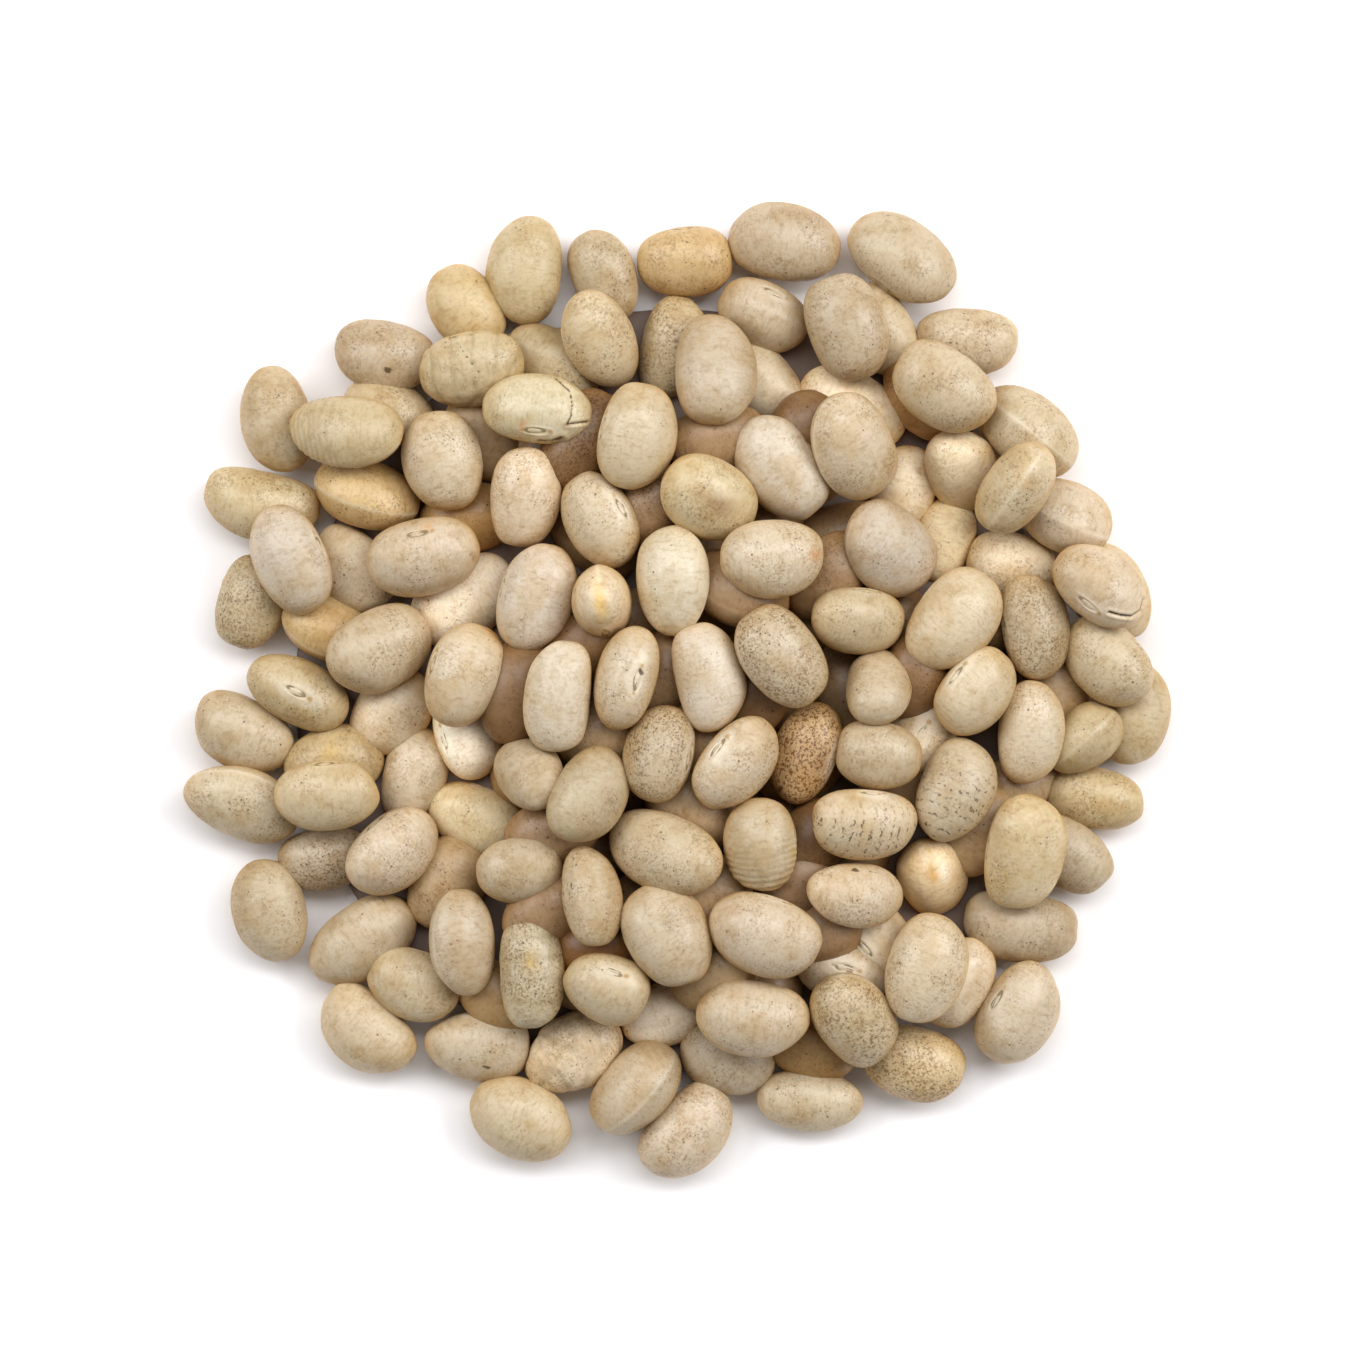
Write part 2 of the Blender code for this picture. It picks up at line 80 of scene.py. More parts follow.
# Each bean: x and y of its middle (mm), heading of its long axis (degrees from +X), length and width as
# seen from above (mm), where its scar side faces (0 level on the left, 90 up, 180 level on the right,
# -90 down), and what sets it apart, in the words of TINTS, SHADES, SPECKS and the functions of form
FLOOR_BEANS = (
    (-39.9, 27.2, 99, 10.9, 7.2, 180, "buff dusky"),
    (-29.2, 33.8, -10, 10.5, 7.2, -20, "specked dull"),
    (-20.9, 38.4, 122, 9.5, 7.2, 180, "yellow clean dusky"),
    (-14.9, 42.2, 86, 11.0, 7.8, 180, "buff dusky"),
    (-28.8, 28.1, -20, 9.5, 6.2, -60, "buff specked dusky"),
    (-31.0, 19.7, -17, 11.0, 6.9, -70, "specked dusky golden"),
    (-41.6, 19.0, -12, 12.0, 7.0, 0, "buff specked kidney"),
    (-19.1, 25.6, -60, 10.0, 7.0, 0, "shaded"),
    (-7.3, 41.5, 112, 9.8, 6.6, -20, "specked dull"),
    (0.9, 43.2, 3, 9.8, 7.3, 20, "golden specked dusky"),
    (11.0, 44.8, -10, 11.3, 8.0, 180, "specked dull"),
    (8.9, 37.7, -25, 9.6, 7.0, 45, "clean dusky"),
    (-0.3, 34.5, 78, 10.5, 7.0, 0, "peppered dusky buff"),
    (8.8, 30.9, -50, 9.5, 7.0, 0, "light"),
    (17.8, 28.5, -30, 11.5, 7.5, 0, "bright"),
    (-12.3, 32.8, -35, 10.5, 7.5, 0, "specked buff dull"),
    (22.7, 43.4, -35, 11.8, 7.9, 160, "specked dusky"),
    (20.7, 36.4, 120, 9.8, 6.8, 180, "buff"),
    (29.4, 35.3, -3, 10.5, 6.8, 0, "specked"),
    (25.6, 29.3, -40, 11.0, 7.5, 0, "specked shaded brown"),
    (28.6, 22.0, 110, 8.3, 7.3, 0, "light"),
    (35.4, 26.0, -38, 11.4, 7.5, -90, "specked"),
    (39.1, 17.5, -25, 10.0, 7.3, -80, ""),
    (22.8, 20.3, 75, 9.0, 6.5, 0, "bright"),
    (26.8, 15.2, 70, 8.5, 6.0, 0, "buff bright"),
    (-42.9, 8.8, 75, 9.6, 7.0, 0, "buff peppered dusky"),
    (-35.0, 6.5, -25, 9.5, 6.8, -40, "specked golden dusky"),
    (-37.9, -0.2, -27, 11.0, 6.6, 90, "buff specked haloed dusky"),
    (-43.4, -4.1, -25, 10.6, 7.3, 0, "dusky"),
    (-43.6, -11.5, -20, 12.0, 7.3, -140, "specked"),
    (-34.4, -7.1, 15, 10.4, 7.5, 0, "yellow specked dull"),
    (-28.6, -2.0, 50, 9.5, 7.5, 0, "light"),
    (-26.4, -8.5, 75, 9.8, 6.6, 0, ""),
    (-20.9, -4.4, 105, 9.5, 7.0, 45, "haloed pale bright"),
    (-20.0, -12.8, -25, 10.2, 7.0, 0, "buff light"),
    (-35.3, -16.8, 8, 9.5, 6.3, 0, "peppered dull"),
    (-32.3, 12.3, -45, 10.0, 7.5, 0, ""),
    (-21.3, 9.2, 35, 11.5, 8.0, 0, "pale bright"),
    (-20.7, 17.5, 10, 10.0, 7.0, 0, "golden shaded"),
    (43.3, 9.8, 125, 11.0, 7.8, 0, ""),
    (46.3, -2.5, 80, 10.4, 6.6, 0, "buff dusky"),
    (41.1, -4.9, 42, 8.6, 6.1, -90, "tapered buff dull"),
    (42.3, -10.7, -12, 10.2, 6.3, 0, "yellow specked dusky"),
    (24.6, -4.5, 60, 9.5, 7.0, 90, "haloed light"),
    (33.9, 12.4, -20, 9.5, 7.5, 0, "specked light"),
    (38.0, 0.2, 100, 9.0, 7.0, 0, "shaded"),
    (34.9, -9.1, 15, 9.0, 6.0, 0, "shaded"),
    (30.4, -13.9, 60, 10.0, 7.0, 0, "shaded"),
    (39.9, -16.5, -40, 9.4, 6.8, 0, "dusky"),
    (-40.6, -22.1, 102, 10.5, 7.5, 180, "dusky"),
    (-31.5, -25.0, 33, 11.8, 7.7, 0, "dusky"),
    (-26.3, -29.3, -22, 9.8, 7.2, 0, "buff"),
    (-30.9, -34.0, -42, 10.9, 7.4, 0, "buff clean kidney"),
    (-19.8, -35.6, -3, 11.0, 7.2, 15, "tapered haloed"),
    (-15.4, -42.9, -30, 10.8, 8.0, 0, "buff clean"),
    (-23.0, -19.3, 60, 10.0, 7.5, 0, "specked shaded"),
    (-18.0, -30.5, -40, 9.0, 6.5, 0, "yellow shaded"),
    (-1.3, -32.5, 20, 8.8, 6.6, 0, "pale bright"),
    (-10.3, -36.2, 30, 10.4, 7.8, 0, "specked wrinkled light"),
    (-4.0, -40.0, 48, 11.0, 7.2, -70, "dusky"),
    (1.1, -44.2, 48, 11.0, 7.6, 0, "specked"),
    (5.2, -36.9, -18, 9.8, 7.2, 0, "specked dusky"),
    (13.4, -41.1, -4, 10.9, 6.3, 0, "specked"),
    (13.7, -35.5, -20, 10.0, 7.0, 0, "shaded golden"),
    (17.0, -27.8, -15, 10.0, 7.0, 90, "haloed"),
    (20.2, -24.8, 130, 9.0, 6.5, 60, "haloed light"),
    (28.5, -29.5, 61, 9.9, 6.5, 85, "haloed light"),
    (34.5, -32.4, 60, 10.8, 7.8, 45, ""),
    (34.8, -23.6, -8, 11.6, 7.0, 0, "oblong dull"),
    (24.0, -37.3, -15, 10.5, 7.5, 0, "yellow peppered"),
)
GAP_BEANS = (
    (-9.4, 25.0, 60, 11.0, 7.5, 0, "peppered deep"),
    (4.0, 25.2, 15, 10.5, 7.0, 0, ""),
    (12.5, 25.8, 60, 9.0, 7.0, 0, "deep"),
    (-2.5, 18.5, 40, 9.5, 7.0, 0, "peppered"),
    (-9.6, 4.3, 45, 10.0, 7.0, 0, "deep"),
    (6.4, 10.0, -25, 11.0, 7.5, -60, ""),
    (15.1, 11.5, 50, 10.0, 7.0, 0, "specked"),
    (-1.1, 1.7, 60, 9.5, 7.0, 0, ""),
    (8.0, -0.4, 70, 9.5, 7.0, 0, "deep"),
    (-16.0, 0.0, 80, 11.0, 8.0, 0, "deep"),
    (-7.5, -4.2, 20, 9.5, 7.0, 0, "shaded"),
    (3.0, -5.0, 100, 9.5, 7.0, 0, ""),
    (1.7, -11.5, -30, 10.0, 7.0, 0, "shaded"),
    (-12.2, -13.9, 20, 10.0, 7.0, 0, ""),
    (13.4, -15.0, 50, 9.5, 7.0, 0, "deep"),
    (23.9, 1.5, 80, 9.0, 6.5, 0, "deep"),
    (3.5, -20.3, 30, 9.0, 6.8, 0, "shaded"),
    (4.0, -28.5, 20, 9.5, 7.0, 0, "shaded"),
    (12.0, -19.5, 70, 9.0, 6.8, 0, ""),
    (-13.0, -22.0, 30, 9.5, 7.0, 0, ""),
    (-7.5, -25.5, 10, 9.0, 6.5, 0, "brown deep"),
    (14.7, -23.8, 10, 9.0, 6.5, 0, ""),
)
SECOND_BEANS = (
    (-32.9, 26.0, -4, 12.0, 7.3, -25, "buff rippled dusky"),
    (-20.4, 32.3, 12, 10.8, 8.0, 0, "buff wrinkled dusky"),
    (-23.1, 23.0, 102, 10.4, 8.2, 180, "specked"),
    (-15.2, 19.2, 85, 10.5, 7.3, 0, "specked light"),
    (-7.4, 35.2, 118, 10.5, 7.2, 180, "buff specked"),
    (17.0, 36.3, 108, 11.0, 8.0, -20, "specked dull"),
    (-13.7, 28.0, -5, 11.1, 7.1, 130, "greenish split"),
    (10.7, 22.3, 125, 11.7, 8.0, 160, "pale clean"),
    (-7.5, 17.0, 118, 10.3, 7.2, 135, "specked haloed"),
    (26.9, 30.4, -35, 11.2, 8.0, 0, "specked dusky"),
    (34.0, 20.1, 55, 10.6, 6.5, -90, "buff specked"),
    (21.5, 14.3, -45, 10.6, 8.7, 0, "grey"),
    (-38.4, 13.1, 113, 11.4, 7.6, 155, "grey"),
    (-29.7, 4.2, 28, 11.2, 8.3, 0, "specked dusky"),
    (-34.8, -10.4, 4, 10.5, 7.2, 25, "buff"),
    (-21.1, 1.5, 70, 10.7, 7.9, 30, ""),
    (-28.4, -16.1, 40, 10.6, 7.6, 25, "specked"),
    (-25.2, 13.4, 12, 11.4, 7.8, 55, ""),
    (-7.3, 8.7, 97, 7.1, 6.0, 90, "light"),
    (13.1, -6.3, 69, 10.6, 6.6, 150, "brown dotted"),
    (-14.7, -8.4, 130, 7.6, 6.6, 0, "dusky"),
    (-15.6, -17.7, 10, 8.7, 6.7, 0, "dusky"),
    (27.7, 7.1, 50, 11.3, 8.2, 0, "clean"),
    (35.9, 6.4, 100, 10.7, 7.3, 0, "peppered dusky"),
    (42.4, 10.4, -37, 10.3, 7.3, 130, "split"),
    (43.4, 3.0, -48, 10.2, 7.6, 20, "specked dusky"),
    (35.4, -4.2, 84, 10.6, 6.8, 0, ""),
    (30.0, -0.1, 52, 9.6, 7.0, 40, "clean haloed"),
    (20.1, 0.3, 85, 7.6, 6.7, 0, "dusky"),
    (34.8, -16.3, 80, 12.0, 8.3, 0, "buff"),
    (25.7, -18.8, 110, 7.9, 7.1, 0, "amber clean light"),
    (-21.2, -25.2, 94, 10.9, 6.7, -140, "dusky"),
    (-14.5, -28.1, 92, 11.5, 6.5, 0, "greenish peppered banded oblong dusky"),
    (7.8, -32.6, -8, 11.4, 7.9, 0, ""),
    (-6.9, -29.7, -20, 8.8, 7.0, 60, "haloed tapered dusky"),
    (17.8, -33.0, 125, 10.8, 7.9, 0, "buff peppered dusky"),
    (24.9, -27.8, 74, 11.2, 8.1, 0, "specked"),
)
TOP_BEANS = (
    (-3.9, 25.4, 77, 11.0, 8.2, 0, "clean"),
    (17.9, 24.4, 115, 11.6, 8.6, 180, "specked"),
    (-14.0, 9.3, 75, 11.1, 7.8, 20, "pale"),
    (9.7, 13.3, 5, 10.4, 8.0, 0, "specked"),
    (18.2, 7.1, -6, 10.1, 7.0, 0, "specked buff dusky"),
    (-11.4, -0.6, 84, 11.1, 6.7, 180, "pale clean oblong"),
    (-8.7, -10.4, 60, 10.5, 7.5, 0, "specked dull"),
    (-8.4, -20.6, 100, 10.4, 6.2, 0, "specked dusky"),
    (20.3, -6.3, -8, 8.9, 6.9, 0, "dusky"),
    (27.8, -10.0, 66, 10.8, 7.7, 0, "dashed dusky"),
    (17.9, -20.2, -3, 10.3, 6.6, 0, "specked"),
    (3.8, 32.0, 92, 11.9, 8.3, 0, "clean dusky"),
    (3.5, 19.3, -30, 10.6, 8.3, 0, "buff specked"),
    (-0.4, 10.9, 92, 11.1, 7.6, 0, "pale clean"),
    (-4.8, 1.2, 75, 10.6, 6.1, 110, "specked haloed dark_scar"),
    (3.2, 1.3, 103, 11.0, 7.0, 0, "pale clean oblong"),
    (10.7, 3.4, 127, 11.2, 7.9, -155, "peppered dusky"),
    (-1.5, -6.4, 78, 10.0, 7.2, 150, "peppered haloed dull"),
    (6.0, -7.3, 50, 10.6, 7.0, 45, "specked haloed"),
    (-1.0, -16.0, -20, 12.6, 8.0, 0, "specked dusky"),
    (8.7, -15.4, 95, 9.3, 7.5, 170, "clean rippled dusky"),
    (18.8, -13.2, -3, 11.3, 7.3, 25, "specked haloed dashed"),
    (-0.9, -24.5, 118, 11.0, 8.5, 0, "dented dusky"),
    (9.0, -24.2, -19, 11.7, 8.3, 0, ""),
)
LAYERS = ((GAP_BEANS, 4.6), (SECOND_BEANS, 5.8), (TOP_BEANS, 9.8))

# Colours of the seed coats, in sRGB, and how far a bean may differ from its colour
CREAM = "C9B99F"
TINTS = {
    "buff": "CAB998",
    "yellow": "CEB991",
    "golden": "CEB385",
    "amber": "D9C5A0",
    "pale": "CFC2AD",
    "grey": "C2B5A4",
    "greenish": "C6BA9C",
    "brown": "BFA074",
}
TINT_RANGE = (0.91, 1.01)
GREEN_RANGE = (0.993, 1.007)
BLUE_RANGE = (0.96, 1.04)
END_TINT = "CDA968"         # that the ends of many beans run to
YELLOW_ENDS = (0, 0.35)     # how far they do
# Painted shade and warm bounced light on each bean's sides, standing in for light passed between the beans
PAINTED_SIDE_SHADE = (-0.06, 0.14, 0.48)    # how much less red, green and blue a bean's sides have than its top
# Shares of red, green and blue that a coat keeps. Bright and light are painted light: paler coats for beans
# left in too much shade by the settling. Dusky and dull make a coat darker. Shaded, below and deep are
# painted shade on beans low in the heap or showing only in gaps
SHADES = {
    "bright": (1.50, 1.52, 1.55),
    "light": (1.20, 1.20, 1.21),
    "dusky": (0.88, 0.87, 0.85),
    "dull": (0.80, 0.78, 0.74),
    "shaded": (0.77, 0.65, 0.51),
    "below": (0.57, 0.44, 0.32),
    "deep": (0.38, 0.26, 0.16),
}
# How densely a coat is specked, and one without such a word
SPECKS = {"clean": 0.25, "specked": 0.62, "peppered": 1.20, "dotted": 2.2}
FEW_SPECKS = 0.42

# Stains and pits on single beans: x and y as in the tables, half length and half width (mm), heading, and
# a colour of STAINS or "pit", a dark spot of painted shade with no relief
STAINS = {"orange": "C88C4A", "yellow": "CDAA55", "olive": "8A7A4E", "brown": "8F6B44", "white": "E8DFCC"}
MARKS = (
    (-28.9, 32.1, 0.55, 0.35, -10, "pit"),
    (-44.8, -11.2, 0.30, 0.25, 0, "pit"),
    (-18.8, -37.9, 0.24, 0.22, 0, "pit"),
    (10.5, -9.9, 0.32, 0.25, 40, "pit"),
    (18.0, -17.9, 0.42, 0.22, 10, "pit"),
    (14.6, -7.2, 1.4, 0.9, 70, "brown"),
    (-10.4, -19.4, 0.45, 0.09, -8, "pit"),
    (-10.3, -20.2, 0.35, 0.08, -10, "pit"),
    (-9.6, -21.0, 0.30, 0.08, -14, "pit"),
    (11.8, -13.6, 0.35, 0.6, 0, "yellow"),
    (11.8, -16.1, 0.35, 0.6, 0, "yellow"),
    (24.9, -16.8, 1.6, 0.35, 110, "white"),
    (26.9, -18.3, 0.5, 1.0, 0, "white"),
    (25.7, -18.3, 0.9, 0.35, 100, "yellow"),
    (25.9, -18.7, 0.8, 0.35, 150, "orange"),
    (18.0, -10.1, 0.45, 0.40, 0, "yellow"),
    (21.5, -10.6, 0.30, 0.25, 0, "olive"),
    (14.0, 13.4, 0.6, 0.6, 0, "orange"),
    (-7.4, 8.6, 2.2, 0.6, 97, "yellow"),
    (-34.6, -6.2, 1.2, 0.8, 20, "yellow"),
    (4.4, 18.4, 1.6, 1.0, -30, "brown"),
    (-14.4, -27.0, 0.9, 0.7, 92, "yellow"),
    (-24.7, 16.2, 0.5, 0.4, 60, "orange"),
    (-15.2, 26.3, 0.5, 0.3, 80, "orange"),
    (-10.7, 26.4, 0.6, 0.3, 10, "brown"),
)
# Lines in the coat of single beans: half width and depth (mm), and the places that each runs through.
# Each is darkened inside with painted shade
LINES = (
    (0.13, 0.20, ((-11.9, 31.2), (-10.4, 29.8), (-10.2, 28.5), (-10.3, 27.2), (-10.7, 26.4), (-8.7, 26.7))),
    (0.20, 0.30, ((-13.5, 24.7), (-12.4, 24.6), (-11.3, 25.0))),
    (0.13, 0.30, ((43.2, 7.7), (44.3, 7.4), (45.5, 7.3), (46.4, 7.9), (46.7, 9.0))),
    (0.07, 0.07, ((-21.7, 34.7), (-20.9, 33.4), (-20.2, 32.5), (-19.5, 31.6))),
)
LIP_SHARE = 0.35            # height of a line's raised edge, as a share of its depth
# Painted shade: how dark the pits and the insides of the lines are
PIT_DARKNESS = 1.3          # past 1 the whole pit is dark
LINE_DARKNESS = 0.9
STAIN_STRENGTH = 0.70       # share of a stain's colour in the middle of it

# The form of one bean
BLUNT = (2.0, 2.22)         # 2 is an ellipse, more has blunter ends
OBLONG_BLUNT = 2.5
PLUMP_END = (-0.05, 0.09)   # how much fuller one end is
TAPER = 0.16
END_CURL = (0.01, 0.035)    # how far the ends lean to the scar side, as a share of the length
KIDNEY_CURL = 0.07
SCAR_FLAT = 0.07            # how much flatter the scar side is
KEEL = (0.08, 0.18)         # height of the seam's soft ridge on the back, mm
KEEL_WIDTH = 0.8
LUMP = (0.08, 7.0, 6)      # unevenness of the skin: height and pitch in mm, and how many waves make it
FINE_LUMP = (0.026, 1.9, 9)
RIPPLE = (0.045, 0.60)      # height and pitch of the ripples across a bean, mm
RIPPLE_BEND = 0.055
CREASE = (0.11, 3.2)        # depth and pitch of the wrinkles, mm
DENT = (0.30, 1.9)          # depth and half width of the dent, mm
PRESSED = (0.88, 0.98)      # how far out, on a round bean of radius 1, its ends were pressed flat
PRESSED_SHARE = 0.55
PRESSED_EDGE = 0.05         # how softly that flat place ends
SCAR_HALF = (0.95, 0.32)    # half length and half width of the scar's oval, mm
SCAR_RELIEF = ((-0.06, 1, 0.25), (0.05, 1.7, 0.4), (0.03, 0, 0.6))  # rings: height (mm), place, width
HALO_HALF = (2.0, 0.90)
FAR_SPOT = 1.50             # from the scar's middle to the mustard spot, mm
NEAR_SPOT = -1.30           # and to the smaller one at its other end
LOOKS_SEED = 11
LOT_RANGE = (-200, 200)     # where in the noises a bean's own place lies, mm

# Polar angles of a bean's rings round the scar, close together across its rim
SCAR_RINGS = (0, 0.04, 0.08, 0.11, 0.14, 0.17, 0.20, 0.24, 0.28, 0.32, 0.37, 0.43)
BODY_RINGS = 31
SEGMENTS = 46
SEAM_CROWDING = 0.22        # how much closer the segments lie near the seam

# The pieces: words that put a bean in each, the first piece that has one, and how fine its mesh is
KINDS = (
    ("beans_below", ("below",), 0.5),
    ("beans_split", ("split",), 3.0),
    ("beans_wrinkled", ("rippled", "wrinkled", "banded", "dented"), 2.8),
    ("beans_yellow", ("yellow", "golden", "buff"), 1.0),
    ("beans_specked", ("specked", "peppered"), 1.0),
    ("beans_plain", (), 0.96),
)

# Fine brown specks, in three sizes: pitch and radius (mm), strength, colour
SPECK_SIZES = ((0.60, 0.17, 0.80, "5C452B"), (0.34, 0.12, 0.70, "6B5236"), (0.20, 0.075, 0.50, "7A6142"))
# Marks with ragged edges: where each starts and is full, how strong it is, and its colour
SCAR_COLOURS = {
    # The halo's pale colour is partly a painted highlight
    "halo": (0.40, 1.20, 0.42, "E6DDCA"),
    "outline": (0.60, 1.05, 0.75, "705C38"),
    "spot": (0.55, 1.10, 0.75, "A8803C"),
    # dark: the dark scar, and the painted shade of the pits and of the lines' grooves
    "dark": (0.72, 1.10, 0.85, "4C361C"),
}

# The hidden dome under the beans, in mm
CORE_RADIUS = 38.5
CORE_HEIGHT = 2.6
CORE_LIFT = 0.3
CORE_BUMP = 0.5
# The dome's brown-grey is painted shade: the dark between beans deep in the heap
CORE_SHADE_COLOURS = ("5E4E46", "7E6C62")

# Soft boxes round the heap: place and size (m), and power (W)
SOFT_BOXES = (
    ("left_box", (-0.60, 0.30, 0.60), (0.6, 0.5), 5.1),
    ("right_box", (0.60, 0.25, 0.60), (0.6, 0.5), 6.4),
    ("top_box", (0.05, 0.45, 1.00), (0.8, 0.4), 5.4),
)
ROOM_LIGHT = 0.20
FLOOR_COLOUR = "F8F7F9"

# Blender's names of the nodes used
ATTRIBUTE = "ShaderNodeAttribute"
MATHS = "ShaderNodeMath"
VECTOR_MATHS = "ShaderNodeVectorMath"
PARTS = "ShaderNodeSeparateXYZ"
COLOUR_PARTS = "ShaderNodeSeparateColor"
NOISE = "ShaderNodeTexNoise"
CELLS = "ShaderNodeTexVoronoi"
RANGE = "ShaderNodeMapRange"
MIX = "ShaderNodeMix"
BUMP = "ShaderNodeBump"
PLACE = "ShaderNodeTexCoord"


def linear(hex_colour):
    """An sRGB hex value as a linear colour."""
    shares = [int(hex_colour[i:i + 2], 16) / 255 for i in (0, 2, 4)]
    return tuple(s / 12.92 if s <= 0.04045 else ((s + 0.055) / 1.055) ** 2.4 for s in shares)


def last_named(table, words, otherwise):
    """What the table says of the last of these words that it has."""
    return next((table[word] for word in reversed(words) if word in table), otherwise)


def turned(heading, pitch, roll):
    """The rotation of a bean: roll about its long axis, then lean, then heading."""
    return np.array(
        Matrix.Rotation(math.radians(heading), 3, "Z")
        @ Matrix.Rotation(math.radians(-pitch), 3, "Y")
        @ Matrix.Rotation(math.radians(roll), 3, "X")
    )


class Heap:
    """A height map of what has been laid so far, and the beans laid on it (mm)."""

    def __init__(self):
        steps = int(2 * HALF_MAP / CELL)
        self.axis = (np.arange(steps) + 0.5) * CELL - HALF_MAP
        self.height = np.zeros((steps, steps))
        self.laid = []

    def patch(self, x, y):
        """The part of the map round a bean, and its cells' distances from the bean's middle."""
        left, right = np.searchsorted(self.axis, (x - REACH, x + REACH))
        front, back = np.searchsorted(self.axis, (y - REACH, y + REACH))
        across, along = np.meshgrid(self.axis[left:right] - x, self.axis[front:back] - y)
        return self.height[front:back, left:right], across, along

    @staticmethod
    def skin(across, along, turn, half_sizes):
        """Where an ellipsoid covers the patch, and its lower and upper surface there."""
        form = turn @ np.diag(1 / half_sizes**2) @ turn.T
        slope = form[0, 2] * across + form[1, 2] * along
        level = form[0, 0] * across**2 + 2 * form[0, 1] * across * along + form[1, 1] * along**2 - 1
        under_root = slope**2 - form[2, 2] * level
        covered = under_root > 0
        root = np.sqrt(np.where(covered, under_root, 0))
        return covered, (-slope - root) / form[2, 2], (-slope + root) / form[2, 2]

    def lay(self, bean, leans, most_lift):
        """Lowers a bean onto what lies below it, at the lean that lets it sink furthest."""
        x, y, heading, seen_length, seen_width, roll = bean
        facing = math.radians(roll)
        width = seen_width / math.hypot(math.cos(facing), THICK_SHARE * math.sin(facing))
        thick = THICK_SHARE * width
        length = seen_length
        # a bean whose scar or back shows keeps the roll that it is seen at
        rocks = (0,) if roll % 180 else leans
        choices = [(pitch, lean) for pitch in leans for lean in rocks]
        if seen_length < END_ON_BELOW * seen_width:
            length = END_ON_SHAPE * width
            tall = math.hypot(width * math.sin(facing), thick * math.cos(facing))
            level_share = (seen_length**2 - tall**2) / (length**2 - tall**2)
            pitch = math.degrees(math.acos(math.sqrt(min(max(level_share, 0.05), 1))))
            choices = [(pitch, 0), (-pitch, 0)]
        half_sizes = np.array((length, width, thick)) / 2
        below, across, along = self.patch(x, y)
        best = None
        for pitch, lean in choices:
            turn = turned(heading, pitch, roll + lean)
            covered, lower, _ = self.skin(across, along, turn, half_sizes)
            resting = -lower[covered].min()
            covered, lower, _ = self.skin(across, along, turn, half_sizes * SINK)
            gaps = np.sort((below - lower)[covered])
            touching = gaps[int(len(gaps) * (1 - SPARE))]
            middle = min(max(resting, touching), resting + most_lift)
            cost = middle + LEAN_COST * (abs(pitch) + abs(lean))
            if best is None or cost < best[0]:
                best = (cost, middle, turn)
        _, middle, turn = best
        covered, _, upper = self.skin(across, along, turn, half_sizes * SINK)
        below[covered] = np.maximum(below[covered], middle + upper[covered])
        self.laid.append((np.array((x, y, middle)), turn, half_sizes))

    def fill_inside(self):
        """Lays the hidden beans of the lowest layer, wherever there is room for one."""
        draw = np.random.default_rng(INNER_SEED)
        for row in INNER_ROWS:
            for column in INNER_ROWS:
                x = (column + 0.5 * (row % 2)) * INNER_STEP[0] + draw.uniform(-INNER_SHIFT, INNER_SHIFT)
                y = row * INNER_STEP[1] + draw.uniform(-INNER_SHIFT, INNER_SHIFT)
                heading = draw.uniform(0, 180)
                length = draw.uniform(*INNER_LENGTH)
                width = draw.uniform(*INNER_WIDTH)
                below, across, along = self.patch(x, y)
                half_sizes = np.array((length, width, THICK_SHARE * width)) / 2
                covered, _, _ = self.skin(across, along, turned(heading, 0, 0), half_sizes)
                taken = (below[covered] > BARE).mean()
                if math.hypot(x, y) < INNER_RADIUS and taken < INNER_TAKEN:
                    self.lay((x, y, heading, length, width, 0), LEANS, INNER_LIFT)


def settled_beans():
    """Every bean as (middle, rotation, half sizes, words) in mm, and how far the heap was shifted.

    The words of a bean inside the heap, or of one that shows only in a gap, start with "below".
    """
    heap = Heap()
    words = []
    for *bean, look in FLOOR_BEANS:
        heap.lay(bean, FLOOR_LEANS, FLOOR_LIFT)
        words.append(look)
    heap.fill_inside()
    words += ["below"] * (len(heap.laid) - len(words))
    for beans, most_lift in LAYERS:
        for *bean, look in beans:
            heap.lay(bean, LEANS, most_lift)
            words.append(f"below {look}" if beans is GAP_BEANS else look)
    shown = [bean for bean, look in zip(heap.laid, words) if look != "below"]
    reaches = [np.linalg.norm(turn * half_sizes, axis=1) for _, turn, half_sizes in shown]
    lows = [middle - reach for (middle, *_), reach in zip(shown, reaches)]
    highs = [middle + reach for (middle, *_), reach in zip(shown, reaches)]
    shift = (np.min(lows, axis=0) + np.max(highs, axis=0)) / 2
    shift[2] = 0
    return [(middle - shift, *rest, look) for (middle, *rest), look in zip(heap.laid, words)], shift


def bean_grid(detail):
    """The master bean, a ball with its poles at the scar and the back, as unit points and faces."""
    rings = np.append(SCAR_RINGS, np.linspace(SCAR_RINGS[-1], math.pi, BODY_RINGS + 1)[1:])
    steps = len(rings) - 1
    bpy.ops.object.select_all(action="DESELECT")
    bpy.ops.mesh.primitive_uv_sphere_add(
        segments=int(SEGMENTS * detail), ring_count=int(steps * detail), radius=1
    )
    ball = bpy.context.object
    points = np.empty(len(ball.data.vertices) * 3)
    ball.data.vertices.foreach_get("co", points)
    points = points.reshape(-1, 3)
    faces = [tuple(face.vertices) for face in ball.data.polygons]
    bpy.data.meshes.remove(ball.data)
    polar = np.arccos(np.clip(points[:, 2], -1, 1))
    polar = np.interp(polar / math.pi * steps, np.arange(steps + 1), rings)
    around = np.arctan2(points[:, 1], points[:, 0])
    around = around - SEAM_CROWDING * np.sin(2 * around)
    # the scar's pole is on +Y, and the flat faces are at +Z and -Z
    unit = (np.sin(polar) * np.cos(around), np.cos(polar), -np.sin(polar) * np.sin(around))
    return np.stack(unit, axis=1), faces


